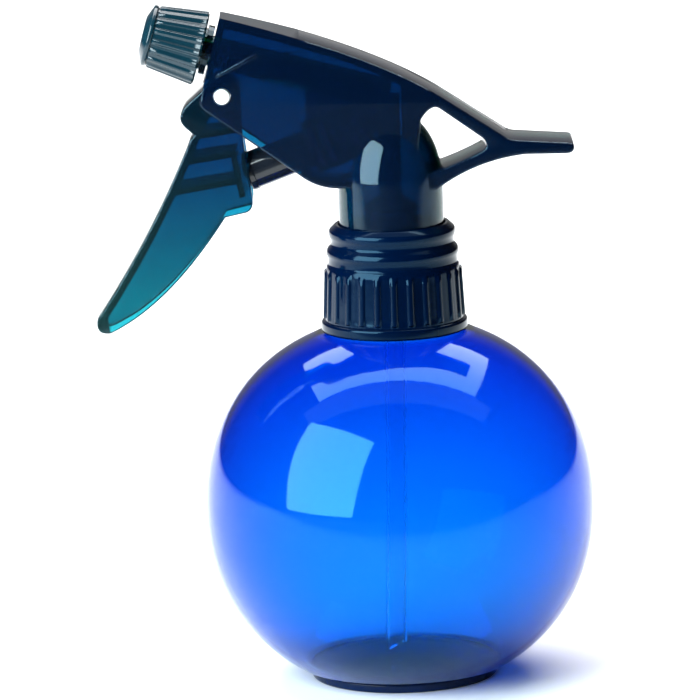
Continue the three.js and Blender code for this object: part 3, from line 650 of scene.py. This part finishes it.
def make_bottle():
    base_angle = ball_angle_at_height(BOTTLE_BASE_Z, 0)
    outside = ball_points(base_angle, ball_angle_at_radius(SHOULDER_RADIUS, 0), 0)
    shoulder_z = outside[-1][1]
    floor_z = BOTTLE_BASE_Z + BOTTLE_WALL
    bore_angle = ball_angle_at_radius(NECK_BORE_RADIUS, BOTTLE_WALL)
    inside = ball_points(bore_angle, ball_angle_at_height(floor_z, BOTTLE_WALL), BOTTLE_WALL)
    neck_foot = filleted(
        [(SHOULDER_RADIUS, shoulder_z), (NECK_RADIUS, shoulder_z, 1.4), (NECK_RADIUS, NECK_MIDDLE_Z)]
    )
    neck_lip = filleted(
        [
            (NECK_RADIUS, NECK_MIDDLE_Z),
            (NECK_RADIUS, NECK_TOP_Z, 0.5),
            (NECK_BORE_RADIUS, NECK_TOP_Z, 0.4),
            (NECK_BORE_RADIUS, NECK_MIDDLE_Z),
        ]
    )
    outline = [
        (0, BOTTLE_BASE_Z + PUSH_UP),
        (HALFWAY_RADIUS, BOTTLE_BASE_Z + PUSH_UP_HALFWAY),
        (BASE_RADIUS, BOTTLE_BASE_Z),
        *outside,
        *neck_foot[1:],
        *neck_lip[1:],
        *inside,
        (HALFWAY_RADIUS, floor_z + PUSH_UP_HALFWAY),
        (0, floor_z + PUSH_UP),
    ]
    body = turned("bottle_shell", outline, BOTTLE_SEGMENTS)
    ridge = screw_ridge(
        "neck_thread", NECK_RADIUS - THREAD_SINK, NECK_THREAD_CREST, NECK_THREAD_Z, **CLOSURE_THREAD
    )
    return merged(body, ridge)


def make_foot():
    rim_z = BOTTLE_BASE_Z - CUP_GAP
    inner_radius = CUP_RADIUS - CUP_WALL
    outline = filleted(
        [
            (0, 0),
            (CUP_RADIUS, 0, 0.8),
            (CUP_RADIUS, rim_z, 0.35),
            (inner_radius, rim_z, 0.3),
            (inner_radius, CUP_FLOOR, 0.3),
            (0, CUP_FLOOR),
        ]
    )
    return turned("foot_cup", outline)


# ---- Closure collar and nozzle cap ----------------------------------------------------


def rib_section(half_share, edge_share):
    """A rib's section over one pitch: flat on top, with soft flanks."""

    def section(phase):
        away = abs(phase - 0.5)
        t = min(1, max(0, (half_share + edge_share - away) / (2 * edge_share)))
        return t * t * (3 - 2 * t)

    return section


def make_collar():
    rim = filleted(
        [
            (COLLAR_BORE_RADIUS, COLLAR_BOTTOM_Z, 0.3),
            (COLLAR_RIM_RADIUS, COLLAR_BOTTOM_Z, 0.7),
            (COLLAR_RIM_RADIUS, 84, 0.8),
            (16.05, 84.4),
        ]
    )
    skirt = [(16.05, 84.75, 0)]
    for i in range(SKIRT_ROWS + 1):
        share = i / SKIRT_ROWS
        radius = SKIRT_RADIUS - SKIRT_TAPER * share
        skirt.append((radius, SKIRT_BOTTOM_Z + SKIRT_HEIGHT * share, COLLAR_RIB_HEIGHT))
    step = [(15.5, 96.1), (15.3, 96.9, 0.5), (14.95, 97.4, 0.4)]
    lower_ring = [(14.95, 98.8, 0.8), (15.4, 99.9, 0.8), (15.1, 100.9, 0.8)]
    groove = [(14.15, 102, 0.8), (14.2, 103, 0.7)]
    upper_ring = [(14.65, 104, 0.6), (14.65, 105.2, 0.8), (13.1, 106.6, 0.8)]
    bore = [
        (COLLAR_TOP_BORE_RADIUS, 106.5, 0.2),
        (COLLAR_TOP_BORE_RADIUS, 100.7),
        (COLLAR_FLANGE_RADIUS, 100.7, 0.2),
        (COLLAR_FLANGE_RADIUS, 99.2, 0.2),
        (COLLAR_BORE_RADIUS, 99.2),
    ]
    top = filleted([*step, *lower_ring, *groove, *upper_ring, *bore])
    shell = turned(
        "collar_shell",
        [*rim, *skirt, *top],
        COLLAR_RIBS * SEGMENTS_PER_RIB,
        ribs=COLLAR_RIBS,
        rib=rib_section(0.17, 0.07),
        smooth_angle=40,
    )
    thread_z = NECK_THREAD_Z + CLOSURE_PITCH / 2
    ridge = screw_ridge(
        "collar_thread", COLLAR_THREAD_ROOT, COLLAR_THREAD_CREST, thread_z, **CLOSURE_THREAD
    )
    return merged(shell, ridge)


def make_nozzle_cap():
    grip = [(8.1, 0.25, 0.25), (8.12, 0.5, CAP_RIB_HEIGHT)]
    for i in range(CAP_ROWS + 1):
        share = i / CAP_ROWS
        z = 0.6 + CAP_GRIP_LENGTH * share
        grip.append((CAP_RADIUS - CAP_TAPER * share, z, CAP_RIB_HEIGHT - CAP_RIB_FADE * share))
    front = filleted(
        [
            (6.75, CAP_BORE_LENGTH),
            (CAP_FACE_RADIUS, 11.9, 0.3),
            (CAP_FACE_RADIUS, 12.7, 0.6),
            (4, CAP_LENGTH, 0.6),
            (ORIFICE_RADIUS, CAP_LENGTH, 0.15),
        ]
    )
    back = [(CAP_BORE_RADIUS, 0), (8, 0)]
    bore = [(ORIFICE_RADIUS, CAP_BORE_LENGTH), (CAP_BORE_RADIUS, CAP_BORE_LENGTH)]
    shell = turned(
        "cap_shell",
        [*back, *grip, *front, *bore],
        CAP_RIBS * SEGMENTS_PER_RIB,
        matrix=NOZZLE_FRAME,
        ribs=CAP_RIBS,
        rib=rib_section(0.22, 0.12),
        smooth_angle=40,
    )
    ridge = screw_ridge(
        "cap_thread",
        CAP_THREAD_ROOT,
        CAP_THREAD_CREST,
        CAP_THREAD_START,
        **CAP_THREAD,
        matrix=NOZZLE_FRAME,
    )
    return merged(shell, ridge)


# ---- Shroud -----------------------------------------------------------------------------


def shroud_outline():
    return (
        Outline(-42.9, 138)
        .curve(-43.6, 136, -41.6, 134.6, 6)
        .line(-20.6, 119.2)
        .curve(-16.5, 115.9, -11, 116, 10)
        .line(10.5, 115)
        .curve(19.5, 121.6, 31, 122.7)
        .line(40.6, 122.6)
        .curve(42.4, 122.7, 42.3, 124.2, 6)
        .curve(42.1, 125, 40.8, 125.1, 5)
        .line(29, 126)
        .curve(27.4, 126.1, 26.2, 127.1, 6)
        .line(12.8, 136.1)
        .curve(-3.9, 147.3, -38, 155.9, 28)
    )


def tail_loop_outline():
    return (
        Outline(10.6, 134.2)
        .curve(8.9, 133.9, 7.4, 131.4, 6)
        .line(6, 118)
        .line(11.4, 119.7)
        .curve(16.6, 121.4, 21.3, 123.9, 8)
        .curve(22.9, 125.1, 21.6, 126.6, 6)
        .line(11.8, 133.8)
        .curve(11.2, 134.2, 10.7, 134.2, 4)
    )


def shroud_hollow_outline():
    return (
        Outline(-36.9, 153.3)
        .line(-40.25, 142)
        .line(-46, 142)
        .line(-46, 134.4)
        .line(-22.4, 117)
        .line(-19.8, 120.4)
        .curve(-16, 117.4, -11, 117.4, 10)
        .line(3, 117.4)
        .line(3, 138.6)
        .curve(3, 139.3, 2.4, 139.6, 4)
        .curve(-8, 146.2, -36.9, 153.3, 24)
    )


def dome(name, inset):
    """The round column with its domed top. The hollow one reaches a little below the outer one."""
    radius = COLUMN_RADIUS - inset
    height = DOME_HEIGHT - inset
    bottom = COLUMN_BOTTOM_Z - (1 if inset else 0)
    outline = [(0, bottom), (radius, bottom)]
    steps = 24
    for i in range(steps):
        angle = math.pi / 2 * i / steps
        outline.append((radius * math.cos(angle), DOME_CENTRE_Z + height * math.sin(angle)))
    outline.append((0, DOME_CENTRE_Z + height))
    return turned(name, outline, 112)


def front_flanks(inset):
    """Two boxes that narrow the front of the head towards its upper edge."""
    x, z = FLANK_PLACE
    made = []
    for side in (-1, 1):
        place = (
            Matrix.Translation((x, side * SHROUD_HALF_WIDTH, z))
            @ Matrix.Rotation(side * FLANK_TAPER, 4, "Z")
            @ Matrix.Rotation(side * FLANK_LEAN, 4, "X")
            @ Matrix.Translation((0, side * (FLANK_CUTTER / 2 - inset), 0))
        )
        made.append(box("flank", (FLANK_CUTTER, FLANK_CUTTER, FLANK_CUTTER), place))
    return made


def make_shroud():
    outlines = [shroud_outline(), tail_loop_outline()]
    outside = slab("shroud_shell", outlines, SHROUD_HALF_WIDTH, SHROUD_ROUNDING)
    combined(outside, "DIFFERENCE", *front_flanks(0))
    rib_outline = Outline(-39, 142.2).line(-29.4, 147).line(-29.8, 147.9).line(-39.4, 143.1)
    rib = slab("side_rib", [rib_outline], SHROUD_HALF_WIDTH + 0.02, SIDE_RIB_ROUNDING)
    combined(outside, "UNION", rib, dome("dome", 0))
    inside = slab("hollow", [shroud_hollow_outline()], SHROUD_HALF_WIDTH - SHROUD_WALL)
    combined(inside, "DIFFERENCE", *front_flanks(SHROUD_WALL - 0.1))
    combined(inside, "UNION", dome("dome_hollow", COLUMN_WALL))
    slot_width = 2 * (BARREL_RADIUS + BARREL_ROOM)
    slot = box("barrel_slot", (16, slot_width, 6), NOZZLE_FRAME @ Matrix.Translation((-8, 0, -3)))
    return combined(
        outside,
        "DIFFERENCE",
        inside,
        bar("barrel_hole", slot_width / 2, -6, 0, NOZZLE_FRAME),
        slot,
        bar("plunger_hole", PLUNGER_HOLE_RADIUS, 6, 16.2, PLUNGER_FRAME),
        cross_bar("pin_hole", PIN_HOLE_RADIUS, *PIVOT, SHROUD_HALF_WIDTH + 1),
    )


# ---- Trigger, pin and plunger ------------------------------------------------------------


def trigger_outline():
    return (
        Outline(-45.5, 128.2)
        .curve(-54.9, 106.2, -68.4, 86.6, 26)
        .curve(-69, 83, -65.4, 83.4, 8)
        .curve(-51.6, 89.6, -38.1, 109.7, 24)
        .line(-33.2, 110.7)
        .curve(-31.4, 111.4, -31.7, 114, 6)
        .line(-33.4, 127.3)
        .line(PIVOT[0] + TRIGGER_BOSS_RADIUS, PIVOT[1] - 0.5)
        .arc(*PIVOT, TRIGGER_BOSS_RADIUS, 0, 150, 22)
        .line(-46.2, 136)
        .curve(-49, 133.2, -46.6, 130.8, 8)
        .line(-44.6, 129)
    )


def trigger_hollow_outline():
    return (
        Outline(-43.6, 127.6)
        .curve(-52.9, 105.9, -65.9, 87, 24)
        .line(-65.2, 80)
        .line(-28, 80)
        .line(-28, 133)
        .line(-41, 133)
    )


def make_trigger():
    shell = slab("trigger_shell", [trigger_outline()], TRIGGER_HALF_WIDTH, TRIGGER_ROUNDING)
    hollow = slab("trigger_hollow", [trigger_hollow_outline()], TRIGGER_HALF_WIDTH - TRIGGER_WALL)
    ribs = []
    for x0, z0, x1, z1 in TRIGGER_RIBS:
        rib = Outline(x0, z0).line(x1, z1)
        rib.line(x1, z1 + TRIGGER_RIB_HEIGHT).line(x0, z0 + TRIGGER_RIB_HEIGHT)
        ribs.append(slab("rib", [rib], TRIGGER_HALF_WIDTH))
    pad_tilt = Matrix.Rotation(math.pi / 2 - PLUNGER_TILT / 2, 4, "Y")
    pad_frame = Matrix.Translation(PLUNGER_NOSE) @ pad_tilt @ Matrix.Translation((0, 0, -PAD_SETBACK))
    pad = box("pad", (PAD_HEIGHT, 2 * TRIGGER_HALF_WIDTH, PAD_THICKNESS), pad_frame)
    boss = cross_bar("boss", TRIGGER_BOSS_RADIUS, *PIVOT, TRIGGER_HALF_WIDTH)
    combined(hollow, "DIFFERENCE", *ribs, pad, boss)
    pin_hole = cross_bar("pin_hole", PIN_HOLE_RADIUS, *PIVOT, TRIGGER_HALF_WIDTH + 1)
    return combined(shell, "DIFFERENCE", hollow, pin_hole)


def make_pin():
    outline = filleted(
        [
            (0, -PIN_HALF_LENGTH),
            (PIN_RADIUS, -PIN_HALF_LENGTH, PIN_EDGE),
            (PIN_RADIUS, PIN_HALF_LENGTH, PIN_EDGE),
            (0, PIN_HALF_LENGTH),
        ]
    )
    frame = Matrix.Translation((PIVOT[0], 0, PIVOT[1])) @ Matrix.Rotation(math.pi / 2, 4, "X")
    return turned("pin", outline, 48, frame)


def make_plunger():
    """A hollow rod with a low rounded nose and two grooves for its seals."""
    nose = [(0, -0.6), (1.2, -0.54, 0.5), (PLUNGER_NOSE_RADIUS, 0.5, 0.4), (PLUNGER_NOSE_RADIUS, 1.9, 0.2)]
    neck = [(PLUNGER_RADIUS, 2.1, 0.2)]
    grooves = []
    for start in SEAL_GROOVES:
        end = start + SEAL_GROOVE_WIDTH
        grooves.append((PLUNGER_RADIUS, start))
        grooves.append((SEAL_GROOVE_RADIUS, start))
        grooves.append((SEAL_GROOVE_RADIUS, end))
        grooves.append((PLUNGER_RADIUS, end))
    tail = [(PLUNGER_RADIUS, PLUNGER_LENGTH, 0.2), (PLUNGER_BORE_RADIUS, PLUNGER_LENGTH)]
    bore = [(PLUNGER_BORE_RADIUS, PLUNGER_BORE_START), (0, PLUNGER_BORE_START)]
    return turned("plunger", filleted([*nose, *neck, *grooves, *tail, *bore]), 80, PLUNGER_FRAME)


def tube_wall(data, radius):
    """Rings of vertices down a bent pipe whose last ring is slanted."""
    wall = []
    for i in range(TUBE_ROWS + 1):
        share = i / TUBE_ROWS
        x = -TUBE_BEND * share * share
        z = TUBE_TOP_Z + (TUBE_END_Z - TUBE_TOP_Z) * share
        slant = TUBE_SLANT * radius / TUBE_RADIUS if i == TUBE_ROWS else 0
        ring = []
        for k in range(TUBE_SIDES):
            angle = 2 * math.pi * k / TUBE_SIDES
            lift = slant * (1 + math.cos(angle))
            ring.append(data.verts.new((x + radius * math.cos(angle), radius * math.sin(angle), z + lift)))
        wall.append(ring)
    return wall


def join_rings(data, first, second):
    """A band of four-sided faces between two rings."""
    count = len(first)
    for k in range(count):
        n = (k + 1) % count
        data.faces.new([first[k], first[n], second[n], second[k]])


def make_dip_tube():
    """A clear tube, bent a little as it reaches the floor, with a slanted end."""
    data = bmesh.new()
    outer = tube_wall(data, TUBE_RADIUS)
    inner = tube_wall(data, TUBE_BORE_RADIUS)
    for wall in (outer, inner):
        for upper, lower in zip(wall, wall[1:]):
            join_rings(data, upper, lower)
    join_rings(data, outer[0], inner[0])
    join_rings(data, outer[-1], inner[-1])
    return object_from("tube", data, smooth_angle=40)


# ---- Everything on its body --------------------------------------------------------------


def smooth_by_angle():
    """A modifier group that shades faces smooth and keeps the edges of a sharper angle."""
    group = bpy.data.node_groups.new("smooth_by_angle", "GeometryNodeTree")
    group.interface.new_socket("Geometry", in_out="INPUT", socket_type="NodeSocketGeometry")
    group.interface.new_socket("Geometry", in_out="OUTPUT", socket_type="NodeSocketGeometry")
    nodes = group.nodes
    links = group.links
    start = nodes.new("NodeGroupInput")
    end = nodes.new("NodeGroupOutput")
    faces = nodes.new("GeometryNodeSetShadeSmooth")
    edges = nodes.new("GeometryNodeSetShadeSmooth")
    edges.domain = "EDGE"
    angle = nodes.new("GeometryNodeInputMeshEdgeAngle")
    sharper = nodes.new("FunctionNodeCompare")
    sharper.operation = "GREATER_THAN"
    sharper.inputs["B"].default_value = CAD_SHARP_ANGLE
    links.new(angle.outputs["Unsigned Angle"], sharper.inputs["A"])
    links.new(start.outputs[0], faces.inputs["Geometry"])
    links.new(faces.outputs["Geometry"], edges.inputs["Geometry"])
    links.new(sharper.outputs["Result"], edges.inputs["Selection"])
    edges.inputs["Shade Smooth"].default_value = False
    links.new(edges.outputs["Geometry"], end.inputs[0])
    return group


def finish_piece(piece, node, body, slot, materials):
    """Puts a modelled piece in the place of its CAD node."""
    piece.data.materials.clear()
    piece.data.materials.append(materials[slot])
    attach(piece, body)
    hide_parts(node)


def dress_cad_node(frame, node, slot, materials, group):
    """Keeps a CAD node's shape, shades it smooth and gives it a finish."""
    kept = frame["nodes"][node]
    if not kept.material_slots:
        kept.data.materials.append(materials[slot])
    for place in kept.material_slots:
        place.material = materials[slot]
    modifier = kept.modifiers.new("smooth", "NODES")
    modifier.node_group = group


def make_object(frame):
    materials = make_materials()
    finish_piece(make_bottle(), "bottle", "bottle", "bottle_blue", materials)
    finish_piece(make_foot(), "base_cup", "bottle", "foot_navy", materials)
    finish_piece(make_collar(), "closure_collar", "collar", "collar_navy", materials)
    finish_piece(make_shroud(), "shroud", "head", "head_navy", materials)
    finish_piece(make_nozzle_cap(), "nozzle_cap", "nozzle", "nozzle_teal", materials)
    finish_piece(make_trigger(), "trigger", "trigger", "trigger_teal", materials)
    finish_piece(make_pin(), "pivot_pin", "head", "pin_white", materials)
    finish_piece(make_plunger(), "piston", "piston", "plunger_black", materials)
    finish_piece(make_dip_tube(), "dip_tube", "head", "tube_clear", materials)
    group = smooth_by_angle()
    for node, slot in (
        ("pump_body", "head_navy"),
        ("intake_body", "inner_natural"),
        ("neck_gasket", "seal_grey"),
        ("inlet_ball", "steel"),
        ("pressure_seal", "seal_grey"),
        ("vent_seal", "seal_grey"),
        ("return_spring", "steel"),
        ("outlet_valve", "inner_natural"),
        ("outlet_spring", "steel"),
        ("swirl_insert", "inner_natural"),
        ("nozzle_seal", "seal_grey"),
    ):
        dress_cad_node(frame, node, slot, materials, group)


# ---- Studio -----------------------------------------------------------------------------------


def make_floor():
    """A wide pale floor with painted shade: dark grey in front of the object, where it would show in
    reflections.
    """
    data = bmesh.new()
    bmesh.ops.create_circle(data, cap_ends=True, radius=FLOOR_RADIUS / MM, segments=96)
    floor = object_from("floor", data)
    finish = Finish("floor_white")
    share = finish.along("Y", FLOOR_PAINTED_SHADE_END, FLOOR_PAINTED_SHADE_START)
    # The dark grey in front of the object is painted shade, seen in the object's reflections.
    finish.colour(share, (0.09, 0.09, 0.09), (0.91, 0.91, 0.91))
    finish.roughness(finish.noise(3, 2), 0.85, 0.95)
    finish.set("Specular IOR Level", 0.1)
    floor.data.materials.append(finish.material)


def make_softbox(name, aim, direction, distance, size, power, colour=(1, 1, 1)):
    """A rectangular light, in metres and watts, that shines on a point from a direction."""
    light = bpy.data.lights.new(name, "AREA")
    light.shape = "RECTANGLE"
    light.size, light.size_y = size
    light.energy = power
    light.color = colour
    holder = bpy.data.objects.new(name, light)
    outward = Vector(direction).normalized()
    holder.location = Vector(aim) + outward * distance
    holder.rotation_mode = "QUATERNION"
    holder.rotation_quaternion = outward.to_track_quat("Z", "Y")
    bpy.context.scene.collection.objects.link(holder)


def make_world():
    """A dim room, lighter in the part of the sky that is straight behind the object."""
    world = bpy.data.worlds.new("studio")
    bpy.context.scene.world = world
    world.use_nodes = True
    nodes = world.node_tree.nodes
    links = world.node_tree.links
    place = nodes.new("ShaderNodeTexCoord")
    split = nodes.new("ShaderNodeSeparateXYZ")
    spread = nodes.new("ShaderNodeMapRange")
    spread.inputs["From Min"].default_value = SKY_EDGE
    spread.inputs["From Max"].default_value = 1.0
    spread.inputs["To Min"].default_value = ROOM_LIGHT
    spread.inputs["To Max"].default_value = SKY_LIGHT
    links.new(place.outputs["Generated"], split.inputs["Vector"])
    links.new(split.outputs["Y"], spread.inputs["Value"])
    links.new(spread.outputs["Result"], nodes["Background"].inputs["Strength"])
    nodes["Background"].inputs["Color"].default_value = (1, 1, 1, 1)


def make_camera():
    """Looks a little down on the object from far off, rolled slightly."""
    back = CAMERA_DISTANCE * math.cos(CAMERA_ELEVATION)
    rise = CAMERA_DISTANCE * math.sin(CAMERA_ELEVATION)
    place = Vector((0, -back, CAMERA_CENTRE_Z + rise))
    camera = bpy.data.cameras.new("camera")
    camera.lens = CAMERA_LENS
    camera.sensor_width = CAMERA_SENSOR
    holder = bpy.data.objects.new("camera", camera)
    holder.location = place
    holder.rotation_mode = "QUATERNION"
    turn = (CAMERA_TARGET - place).to_track_quat("-Z", "Y")
    holder.rotation_quaternion = turn @ Matrix.Rotation(-CAMERA_ROLL, 3, "Z").to_quaternion()
    bpy.context.scene.collection.objects.link(holder)
    bpy.context.scene.camera = holder


def make_studio():
    """The floor, a dim room and three soft lights: a window at the left, one above and one behind."""
    make_floor()
    make_world()
    middle = (0, 0, 0.06)
    make_softbox(
        "window_light",
        aim=middle,
        direction=(-0.684, -0.605, 0.407),
        distance=1.2,
        size=(1.0, 1.12),
        power=48,
        colour=(0.82, 0.97, 1),
    )
    make_softbox("top_light", aim=middle, direction=(0, -0.12, 1), distance=1.6, size=(3.2, 0.5), power=4)
    behind = (0, 1.05, 0)
    make_softbox("back_light", aim=behind, direction=(0, 0, 1), distance=1.9, size=(2.6, 1.9), power=100)
    bpy.context.scene.view_settings.view_transform = "Standard"


def main():
    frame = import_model()
    make_camera()
    make_object(frame)
    make_studio()


main()
